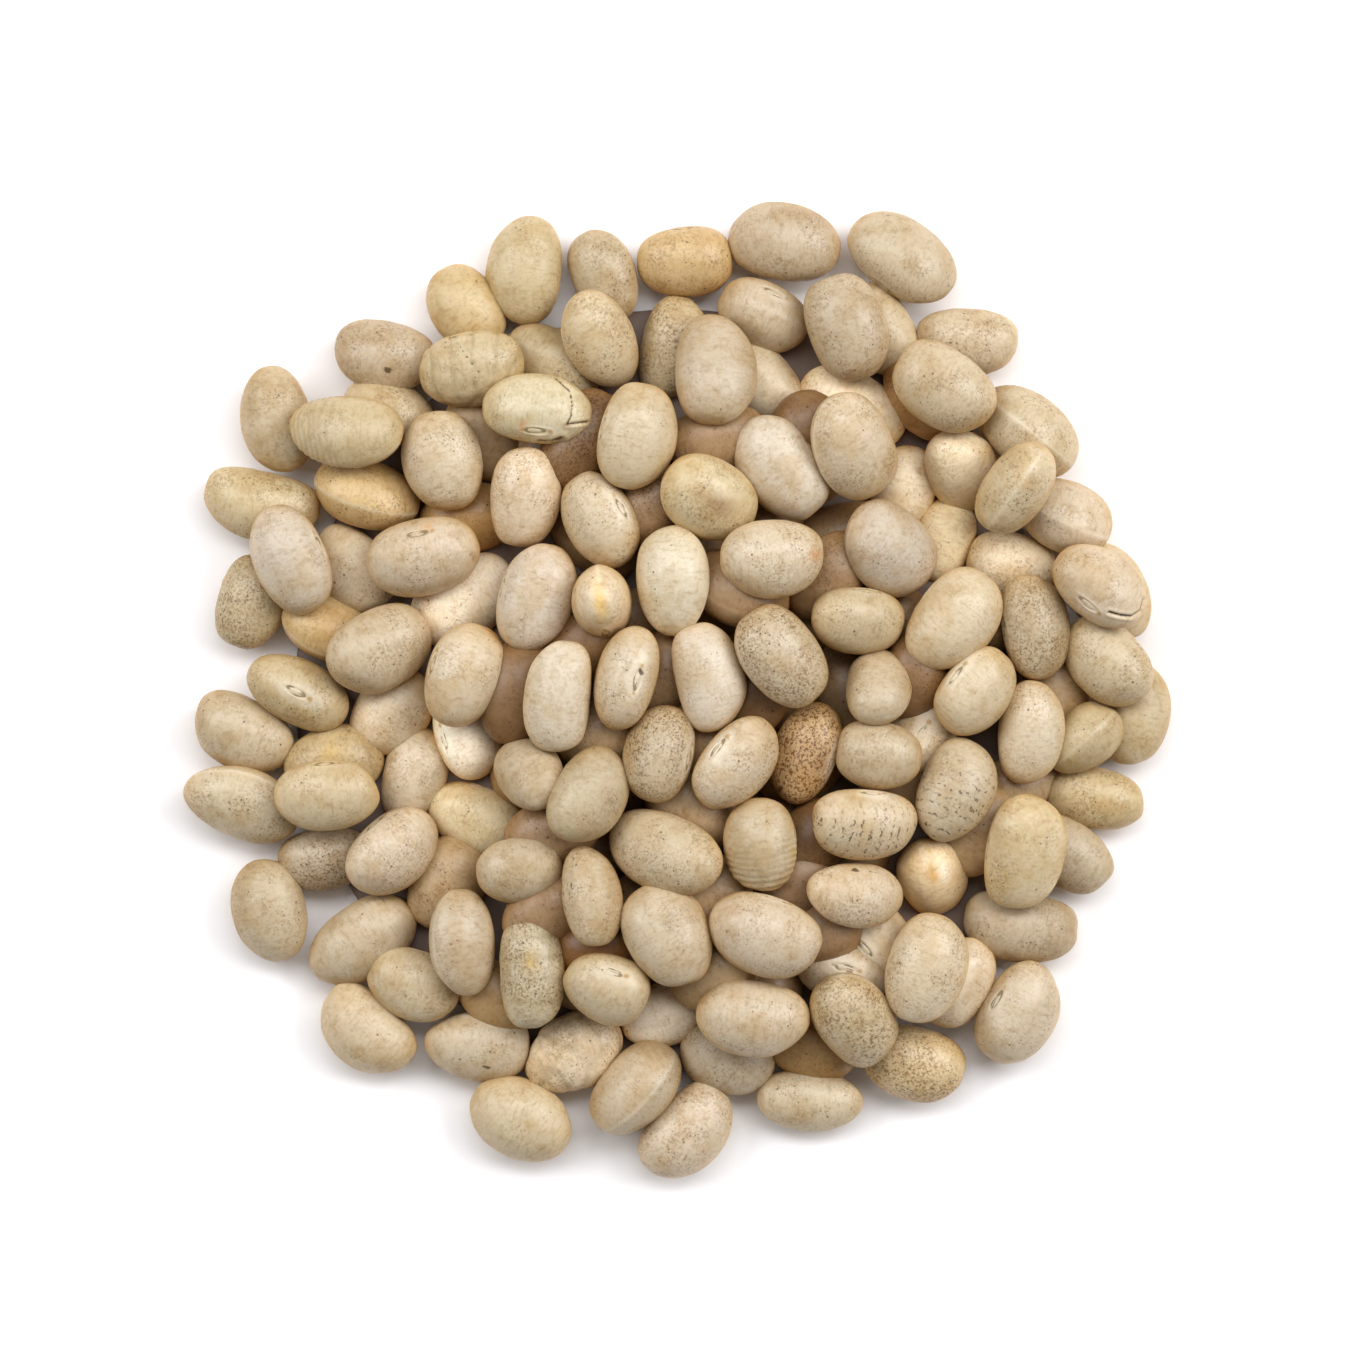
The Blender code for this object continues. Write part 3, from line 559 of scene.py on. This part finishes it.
def waves(points, pitch, count, draw):
    """Soft unevenness from about -1 to 1: sine waves of about this pitch in random directions."""
    ways = draw.normal(size=(count, 3))
    ways *= 2 * math.pi / pitch / np.linalg.norm(ways, axis=1)[:, None]
    return np.sin(points @ ways.T + draw.uniform(0, 2 * math.pi, count)).mean(axis=1) * math.sqrt(2)


def ridge(distance, width):
    """A soft ridge across a line: 1 on it, falling off over this width."""
    return np.exp(-((distance / width) ** 2))


def off_line(places, points):
    """The distance of each place from the line through these points (mm)."""
    nearest = np.full(len(places), np.inf)
    for start, end in zip(points, points[1:]):
        way = np.subtract(end, start)
        share = np.clip((places - start) @ way / (way @ way), 0, 1)
        nearest = np.minimum(nearest, np.linalg.norm(places - start - share[:, None] * way, axis=1))
    return nearest


def scar_relief(place):
    """The sunken rim of the oval scar and its raised surround (mm)."""
    oval = np.hypot(place[:, 0] / SCAR_HALF[0], place[:, 2] / SCAR_HALF[1])
    relief = sum(height * ridge(oval - middle, width) for height, middle, width in SCAR_RELIEF)
    return relief * (place[:, 1] > 0)


def coat_relief(place, words, draw):
    """Ripples, wrinkles or a dent (mm), and how deep in a fold each point is, from 0 to 1, for the painted
    shade in the folds.
    """
    x, y, z = place.T
    height, pitch, count = FINE_LUMP
    relief = height * waves(place, pitch, count, draw)
    fold_shade = np.zeros(len(place))
    if "rippled" in words:
        height, pitch = RIPPLE
        bent = x - RIPPLE_BEND * y**2 + 0.12 * waves(place, 3.5, 5, draw)
        patch = np.clip(0.25 - 0.30 * x + 0.5 * waves(place, 5.0, 5, draw), 0, 1)
        wave = np.sin(2 * math.pi * bent / pitch)
        relief += height * wave * patch
        fold_shade += np.clip(-wave, 0, 1) * patch
    if "wrinkled" in words:
        depth, pitch = CREASE
        crease = ridge(np.abs(waves(place * (1, 0.5, 0.5), pitch, 5, draw)), 0.20)
        relief += 0.05 * waves(place, 1.5, 6, draw) - depth * crease
        fold_shade += 0.8 * crease
    if "banded" in words:
        band = np.clip(waves(place * (1, 0.25, 0.25), 2.0, 4, draw) - 0.1, 0, 1)
        relief -= 0.10 * band
        fold_shade += 1.5 * band
    if "dented" in words:
        depth, reach = DENT
        dent = ridge(np.hypot(x - 0.6, y + 0.3), reach)
        relief += dent * (0.05 * waves(place, 1.5, 7, draw) - depth)
        fold_shade += 0.5 * dent * np.clip(waves(place, 1.3, 7, draw), 0, 1)
    return relief, fold_shade


def bean_shape(unit, half_sizes, words, draw):
    """One bean's skin in its own frame (mm): long axis X, scar side Y. Also the painted shade of its folds.
    """
    blunt = OBLONG_BLUNT if "oblong" in words else draw.uniform(*BLUNT)
    plump = TAPER if "tapered" in words else draw.uniform(*PLUMP_END)
    curl = KIDNEY_CURL if "kidney" in words else draw.uniform(*END_CURL)
    keel = draw.uniform(*KEEL)
    ring = np.hypot(unit[:, 1], unit[:, 2])
    reach = (np.abs(unit[:, 0]) ** blunt + ring**blunt) ** (-1 / blunt)
    form = unit * reach[:, None]
    for end in (-1, 1):
        way = np.array((end, draw.uniform(-0.8, 0.8), draw.uniform(-0.5, 0.5)))
        way /= np.linalg.norm(way)
        beyond = form @ way - draw.uniform(*PRESSED)
        form -= PRESSED_SHARE * PRESSED_EDGE * np.log1p(np.exp(beyond / PRESSED_EDGE))[:, None] * way
    x, y, z = form.T
    fuller = 1 + plump * x
    flatter = 1 - SCAR_FLAT * np.clip(y / np.maximum(ring * reach, 1e-6), 0, 1) * (1 - x**2)
    place = np.stack((
        x * half_sizes[0],
        y * fuller * flatter * half_sizes[1] + curl * 2 * half_sizes[0] * (x**2 - 0.4),
        z * fuller * half_sizes[2],
    ), axis=1)
    out = unit / half_sizes
    out /= np.linalg.norm(out, axis=1)[:, None]
    height, pitch, count = LUMP
    relief, fold_shade = coat_relief(place, words, draw)
    relief += height * waves(place, pitch, count, draw)
    relief += keel * ridge(place[:, 2], KEEL_WIDTH) * np.clip(-unit[:, 1] * 3, 0, 1)
    place += relief[:, None] * out
    place[:, 1] += scar_relief(place)
    return place, out, fold_shade


def scar_marks(place, words, draw):
    """The scar's white halo, partly pale coat and partly a painted highlight, its dark outline, the brown
    spot beyond one end, and what is dark in it.
    """
    x, y, z = place.T
    front = y > 1
    uneven = waves(place, 1.3, 6, draw)
    oval = np.hypot(x / SCAR_HALF[0], z / SCAR_HALF[1])
    # The pale halo is partly the coat round the scar and partly a painted highlight
    halo = np.clip(1.75 - np.hypot((x - 0.3) / HALO_HALF[0], z / HALO_HALF[1]) + 0.25 * uneven, 0, 1)
    halo *= draw.uniform(0.9, 1.1) if "haloed" in words else draw.uniform(0.3, 0.6)
    slit = ridge(z + 0.04 * uneven, 0.07) * (np.abs(x) < SCAR_HALF[0])
    outline = (ridge(oval + 0.15 * uneven - 1, 0.28) + 0.8 * slit) * draw.uniform(0.8, 1.0)
    outline *= np.clip(0.7 + 0.8 * waves(place, 1.1, 5, draw), 0, 1)
    spot = ridge(np.hypot(x - FAR_SPOT, z + 0.1 * uneven), 0.36) * draw.uniform(0.6, 1.0)
    spot += ridge(np.hypot(x - NEAR_SPOT, z), 0.24) * draw.uniform(0.3, 0.9)
    dark = np.zeros(len(place))
    if "dark_scar" in words:
        dark = dark + np.clip(1.3 - np.hypot((x - 1.2) / 0.48, z / 0.36) + 0.8 * uneven, 0, 1)
    return halo * front, outline * front, spot * front, dark * front


def bean_looks(words, draw):
    """The bean's own tint, how far its ends run to yellow, and how many specks it has."""
    tint = np.array(linear(last_named(TINTS, words, CREAM))) * draw.uniform(*TINT_RANGE)
    tint = tint * (1, draw.uniform(*GREEN_RANGE), draw.uniform(*BLUE_RANGE))
    return tint, draw.uniform(*YELLOW_ENDS), last_named(SPECKS, words, FEW_SPECKS)


def mark_bean(seen, upward, tint, dark):
    """Adds the stains and pits that the photograph shows on single beans."""
    for x, y, half_length, half_width, heading, sort in MARKS:
        way = math.radians(heading)
        along = (seen[:, 0] - x) * math.cos(way) + (seen[:, 1] - y) * math.sin(way)
        aside = (seen[:, 1] - y) * math.cos(way) - (seen[:, 0] - x) * math.sin(way)
        mark = ridge(np.hypot(along / half_length, aside / half_width), 1) * upward
        # A pit has no relief: its dark spot is painted shade
        if sort == "pit":
            dark += PIT_DARKNESS * mark
        else:
            tint += STAIN_STRENGTH * mark[:, None] * (linear(STAINS[sort]) - tint)


def one_bean(bean, unit, shift, draw):
    """One bean's points (m), and what the coat's material reads at each of them."""
    middle, turn, half_sizes, look = bean
    words = look.split()
    count = len(unit)
    place, out, fold_shade = bean_shape(unit, half_sizes, words, draw)
    halo, outline, spot, dark = scar_marks(place, words, draw)
    tint, yellow_ends, specks = bean_looks(words, draw)
    ends = yellow_ends * np.abs(unit[:, 0]) ** 4 * (1 + 0.5 * waves(place, 4.0, 4, draw))
    lot = draw.uniform(*LOT_RANGE, 3)
    tint = tint + ends[:, None] * (linear(END_TINT) - tint)
    level = np.clip((out @ turn.T)[:, 2], 0, 1)
    # Painted shade and warm bounced light: sides that turn from straight up are redder and less green and
    # blue
    tint *= 1 - (1 - level[:, None]) ** 2 * PAINTED_SIDE_SHADE
    seen = (place @ turn.T + middle + shift)[:, :2]
    upward = np.clip(4 * level, 0, 1)
    if not look.startswith("below"):
        mark_bean(seen, upward, tint, dark)
    if "split" in words or "wrinkled" in words:
        # Cracks and creases: a groove with a raised lip, darkened inside with painted shade
        for half_width, depth, line in LINES:
            away = off_line(seen, line)
            inside = ridge(away, half_width) * upward
            lip = ridge(away - 2.5 * half_width, 1.3 * half_width) * upward
            place += ((LIP_SHARE * lip - inside) * depth)[:, None] * out
            dark += LINE_DARKNESS * inside
    points = place @ turn.T + middle
    points[:, 2] -= min(points[:, 2].min(), 0)
    # Each coat's painted light or painted shade from SHADES, or a darker coat for dusky and dull
    shade = last_named(SHADES, words, (1, 1, 1))
    dashes = np.clip(1.2 - 0.5 * (seen[:, 1] - middle[1] - shift[1]), 0, 1) * ("dashed" in words)
    return points * MM, {
        "bean_place": place,
        "bean_lot": np.tile(lot, (count, 1)),
        "coat_tint": np.column_stack((tint, np.ones(count))),
        "coat_shade": np.column_stack((np.tile(shade, (count, 1)), dashes)),
        "coat_marks": np.column_stack((np.full(count, specks), fold_shade, dark)),
        "scar_marks": np.column_stack((halo, outline, spot)),
    }


def add_beans(name, beans, shift, grid, draw, material):
    """Joins the beans of one kind into one piece, each with its own mesh, place and looks."""
    unit, faces = grid
    points, looks = zip(*(one_bean(bean, unit, shift, draw) for bean in beans))
    starts = range(0, len(beans) * len(unit), len(unit))
    joined = [tuple(corner + start for corner in face) for start in starts for face in faces]
    mesh = bpy.data.meshes.new(name)
    mesh.from_pydata(np.concatenate(points), [], joined)
    for title in looks[0]:
        values = np.concatenate([look[title] for look in looks])
        kind, field = ("FLOAT_COLOR", "color") if values.shape[1] == 4 else ("FLOAT_VECTOR", "vector")
        mesh.attributes.new(title, kind, "POINT").data.foreach_set(field, values.ravel())
    mesh.shade_smooth()
    mesh.materials.append(material)
    piece = bpy.data.objects.new(name, mesh)
    bpy.context.scene.collection.objects.link(piece)
    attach(piece, "root")
    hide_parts(HEAP_NODE)


def add(tree, kind, links, **settings):
    """Adds a node with its settings. Each input is a value, or the node or socket that feeds it."""
    node = tree.nodes.new(kind)
    for name, value in settings.items():
        setattr(node, name, value)
    for name, value in links.items():
        if isinstance(value, bpy.types.Node):
            value = value.outputs[0]
        if isinstance(value, bpy.types.NodeSocket):
            tree.links.new(value, node.inputs[name])
        else:
            node.inputs[name].default_value = value
    return node


def soft_step(tree, value, start, end, strength):
    """A soft rise from 0 where the value is at the start to the strength where it is at the end."""
    ends = {"Value": value, "From Min": start, "From Max": end, "To Max": strength}
    return add(tree, RANGE, ends, interpolation_type="SMOOTHSTEP")


def maths(tree, operation, *inputs, **settings):
    """A maths node on these inputs."""
    return add(tree, MATHS, dict(enumerate(inputs)), operation=operation, **settings)


def bean_coat():
    """Dried seed coat, grown and air dried: a satin skin with soft broad highlights.

    Warm clouds and faint streaks across the bean break its colour, and it has brown specks in patches, a
    pale scar with a dark outline, and a pale seam along the back. The scar's pale halo is partly a painted
    highlight, the folds, pits and cracks get painted shade, and whole coats get painted light or shade.
    """
    material = bpy.data.materials.new("dried_seed_coat")
    material.use_nodes = True
    tree = material.node_tree
    skin = tree.nodes["Principled BSDF"]
    place = add(tree, ATTRIBUTE, {}, attribute_name="bean_place").outputs["Vector"]
    lot = add(tree, ATTRIBUTE, {}, attribute_name="bean_lot").outputs["Vector"]
    marks = add(tree, ATTRIBUTE, {}, attribute_name="coat_marks").outputs["Vector"]
    scars = add(tree, ATTRIBUTE, {}, attribute_name="scar_marks").outputs["Vector"]
    shade = add(tree, ATTRIBUTE, {}, attribute_name="coat_shade")
    colour = add(tree, ATTRIBUTE, {}, attribute_name="coat_tint").outputs["Color"]
    to_end, to_scar, to_top = add(tree, PARTS, {0: place}).outputs
    specks, fold_shade, dark = add(tree, PARTS, {0: marks}).outputs
    halo, outline, spot = add(tree, PARTS, {0: scars}).outputs
    own_place = add(tree, VECTOR_MATHS, {0: place, 1: lot}, operation="ADD")

    # Clouds of 4 mm, mottles of 1.2 mm, streaks of 0.3 mm across the bean, and grain of 0.4 mm
    across = add(tree, VECTOR_MATHS, {0: own_place, 1: (3.2, 0.9, 0.9)}, operation="MULTIPLY")
    clouds = add(tree, NOISE, {"Vector": own_place, "Scale": 0.25, "Detail": 3.0, "Roughness": 0.55})
    streaks = add(tree, NOISE, {"Vector": across, "Scale": 1.0, "Detail": 2.0, "Roughness": 0.5})
    grain = add(tree, NOISE, {"Vector": own_place, "Scale": 2.5, "Detail": 3.0, "Roughness": 0.6})
    mottles = add(tree, NOISE, {"Vector": own_place, "Scale": 0.8, "Detail": 3.0, "Distortion": 1.2})
    layers = []
    for noise, start, end, strength, blend, hex_colour in (
        (clouds, 0.46, 0.66, 0.50, "MULTIPLY", "E4D1AA"),
        (clouds, 0.50, 0.28, 0.60, "DODGE", "50545A"),
        (mottles, 0.50, 0.70, 0.30, "MULTIPLY", "D2BC94"),
        (mottles, 0.46, 0.30, 0.35, "DODGE", "3C3E42"),
        (streaks, 0.50, 0.75, 0.30, "MULTIPLY", "BFA880"),
        (grain, 0.50, 0.74, 0.24, "MULTIPLY", "BFAA80"),
        (grain, 0.50, 0.28, 0.40, "DODGE", "4A4C50"),
    ):
        layers.append((soft_step(tree, noise, start, end, strength), blend, hex_colour))

    # Specks that lie in patches
    patches = add(tree, NOISE, {"Vector": own_place, "Scale": 0.33, "Detail": 2.0})
    bare = maths(tree, "MULTIPLY_ADD", specks, -0.30, 0.58)
    dense = soft_step(tree, patches, bare, 0.66, specks)
    freckles = add(tree, NOISE, {"Vector": own_place, "Scale": 3.6, "Detail": 2.0, "Roughness": 0.6})
    film = maths(tree, "MULTIPLY_ADD", dense, 0.54, 0.08, use_clamp=True)
    layers.append((soft_step(tree, freckles, 0.46, 0.64, film), "MULTIPLY", "9A7C54"))
    for pitch, radius, strength, hex_colour in SPECK_SIZES:
        cells = add(tree, CELLS, {"Vector": own_place, "Scale": 1 / pitch})
        chance, size, _ = add(tree, COLOUR_PARTS, {0: cells.outputs["Color"]}).outputs
        widest = radius / pitch
        edge = maths(tree, "MULTIPLY_ADD", size, 0.6 * widest, 0.4 * widest)
        core = maths(tree, "MULTIPLY", edge, 0.5)
        speck = soft_step(tree, cells.outputs["Distance"], edge, core, strength)
        taken = maths(tree, "LESS_THAN", chance, dense)
        layers.append((maths(tree, "MULTIPLY", speck, taken), "MIX", hex_colour))

    # Rows of short dark dashes across a few beans, 1 mm apart
    bent = maths(tree, "MULTIPLY_ADD", clouds, 1.5, to_end)
    bent = maths(tree, "MULTIPLY_ADD", mottles, 1.2, bent)
    row = maths(tree, "PINGPONG", bent, 0.5)
    gaps = add(tree, NOISE, {"Vector": own_place, "Scale": 2.2, "Detail": 4.0})
    share = add(tree, RANGE, {"Value": gaps, "From Min": 0.49, "From Max": 0.60, "To Max": 0.85})
    dash = soft_step(tree, row, 0.16, 0.07, share)
    layers.append((maths(tree, "MULTIPLY", dash, shade.outputs["Alpha"]), "MIX", "54412A"))

    # Painted olive shade in the folds, and the seam: a soft pale band 1 mm wide along the back, broken in
    # places
    layers.append((maths(tree, "MULTIPLY", fold_shade, 0.40, use_clamp=True), "MIX", "8F7D58"))
    aside = maths(tree, "ABSOLUTE", to_top)
    on_back = soft_step(tree, to_scar, -0.5, -1.2, 0.42)
    seam = maths(tree, "MULTIPLY", on_back, streaks)
    for half_width in (0.45, 0.12):
        layers.append((soft_step(tree, aside, half_width, 0.2 * half_width, seam), "MIX", "E2D8C2"))

    for sort, title in ((halo, "halo"), (outline, "outline"), (spot, "spot"), (dark, "dark")):
        start, end, strength, hex_colour = SCAR_COLOURS[title]
        ragged = maths(tree, "MULTIPLY_ADD", grain, 0.6, sort)
        layers.append((soft_step(tree, ragged, start, end, strength), "MIX", hex_colour))

    for share, blend, hex_colour in layers:
        inputs = {0: share, 6: colour, 7: (*linear(hex_colour), 1)}
        colour = add(tree, MIX, inputs, data_type="RGBA", blend_type=blend).outputs[2]
    # Each coat times its share from SHADES: painted light, painted shade, or a darker coat
    inputs = {0: 1.0, 6: colour, 7: shade.outputs["Color"]}
    colour = add(tree, MIX, inputs, data_type="RGBA", blend_type="MULTIPLY").outputs[2]

    ends = {"Value": clouds, "From Min": 0.3, "From Max": 0.7, "To Min": 0.35, "To Max": 0.45}
    rough = add(tree, RANGE, ends)
    uneven = maths(tree, "MULTIPLY_ADD", streaks, 0.6, grain)
    relief = add(tree, BUMP, {"Height": uneven, "Strength": 0.5, "Distance": 0.035 * MM})
    tree.links.new(colour, skin.inputs["Base Color"])
    tree.links.new(rough.outputs[0], skin.inputs["Roughness"])
    tree.links.new(relief.outputs[0], skin.inputs["Normal"])
    skin.inputs["Subsurface Weight"].default_value = 0.35
    skin.inputs["Subsurface Radius"].default_value = (1.0, 0.5, 0.25)
    skin.inputs["Subsurface Scale"].default_value = 0.8 * MM
    skin.inputs["IOR"].default_value = 1.45
    return material


def core_coat():
    """Packed beans in deep shade: a matte brown-grey of painted shade, darker than the coats' own colour.
    """
    material = bpy.data.materials.new("packed_beans_painted_shade")
    material.use_nodes = True
    tree = material.node_tree
    skin = tree.nodes["Principled BSDF"]
    place = add(tree, PLACE, {}).outputs["Object"]
    clouds = add(tree, NOISE, {"Vector": place, "Scale": 0.3 / MM, "Detail": 3.0})
    dark, pale = ((*linear(hex_colour), 1) for hex_colour in CORE_SHADE_COLOURS)
    colour = add(tree, MIX, {0: clouds, 6: dark, 7: pale}, data_type="RGBA").outputs[2]
    tree.links.new(colour, skin.inputs["Base Color"])
    skin.inputs["Roughness"].default_value = 0.7
    return material


def add_core():
    """The low dome that closes the heap's inside, with bumps of a bean's size."""
    bpy.ops.object.select_all(action="DESELECT")
    bpy.ops.mesh.primitive_uv_sphere_add(segments=96, ring_count=48, radius=1)
    core = bpy.context.object
    core.name = "heap_core"
    for vertex in core.data.vertices:
        x, y, z = vertex.co
        bump = CORE_BUMP * math.sin(0.75 * CORE_RADIUS * x) * math.sin(0.8 * CORE_RADIUS * y + 1)
        height = CORE_HEIGHT * max(z, 0) ** 0.4 + bump * max(z, 0)
        vertex.co = (x * CORE_RADIUS * MM, y * CORE_RADIUS * MM, (CORE_LIFT + height) * MM)
    core.data.shade_smooth()
    core.data.materials.append(core_coat())
    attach(core, "root")
    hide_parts(HEAP_NODE)


def add_floor():
    """A plain white matt floor, not part of the heap."""
    material = bpy.data.materials.new("white_backdrop_paper")
    material.use_nodes = True
    paper = material.node_tree.nodes["Principled BSDF"]
    paper.inputs["Base Color"].default_value = (*linear(FLOOR_COLOUR), 1)
    paper.inputs["Roughness"].default_value = 0.9
    paper.inputs["Specular IOR Level"].default_value = 0.2
    bpy.ops.object.select_all(action="DESELECT")
    bpy.ops.mesh.primitive_plane_add(size=3.0, location=(0, 0, 0))
    floor = bpy.context.object
    floor.name = "floor"
    floor.data.materials.append(material)


def light_the_scene():
    """A soft box on each side, one above towards the far edge, and a dim pale room."""
    world = bpy.data.worlds.new("pale_room")
    world.use_nodes = True
    sky = world.node_tree.nodes["Background"]
    sky.inputs["Color"].default_value = (1, 1, 1, 1)
    sky.inputs["Strength"].default_value = ROOM_LIGHT
    bpy.context.scene.world = world
    for name, place, size, power in SOFT_BOXES:
        light = bpy.data.lights.new(name, "AREA")
        light.shape = "RECTANGLE"
        light.size, light.size_y = size
        light.energy = power
        box = bpy.data.objects.new(name, light)
        box.location = place
        box.rotation_euler = (-box.location).to_track_quat("-Z", "Y").to_euler()
        bpy.context.scene.collection.objects.link(box)
    bpy.context.scene.view_settings.view_transform = "Standard"


def add_camera(shift):
    """Straight above the heap, with +Y up in the picture."""
    lens = bpy.data.cameras.new("camera")
    lens.sensor_width = SENSOR_WIDTH
    lens.lens = SENSOR_WIDTH * (CAMERA_HEIGHT - VIEW_LEVEL * MM) / (VIEW_WIDTH * MM)
    lens.clip_start = 0.05
    camera = bpy.data.objects.new("camera", lens)
    camera.location = (
        (VIEW_MIDDLE[0] - shift[0]) * MM,
        (VIEW_MIDDLE[1] - shift[1]) * MM,
        CAMERA_HEIGHT,
    )
    bpy.context.scene.collection.objects.link(camera)
    bpy.context.scene.camera = camera


def piece_of(look):
    """The name of the piece that a bean of this look is in."""
    return next(name for name, signs, _ in KINDS if not signs or set(signs) & set(look.split()))


def main():
    """Builds the beans piece by piece, then the core, the floor, the lights and the camera."""
    beans, shift = settled_beans()
    draw = np.random.default_rng(LOOKS_SEED)
    coat = bean_coat()
    for name, _, detail in KINDS:
        mine = [bean for bean in beans if piece_of(bean[3]) == name]
        add_beans(name, mine, shift, bean_grid(detail), draw, coat)
    add_core()
    add_floor()
    light_the_scene()
    add_camera(shift)


main()
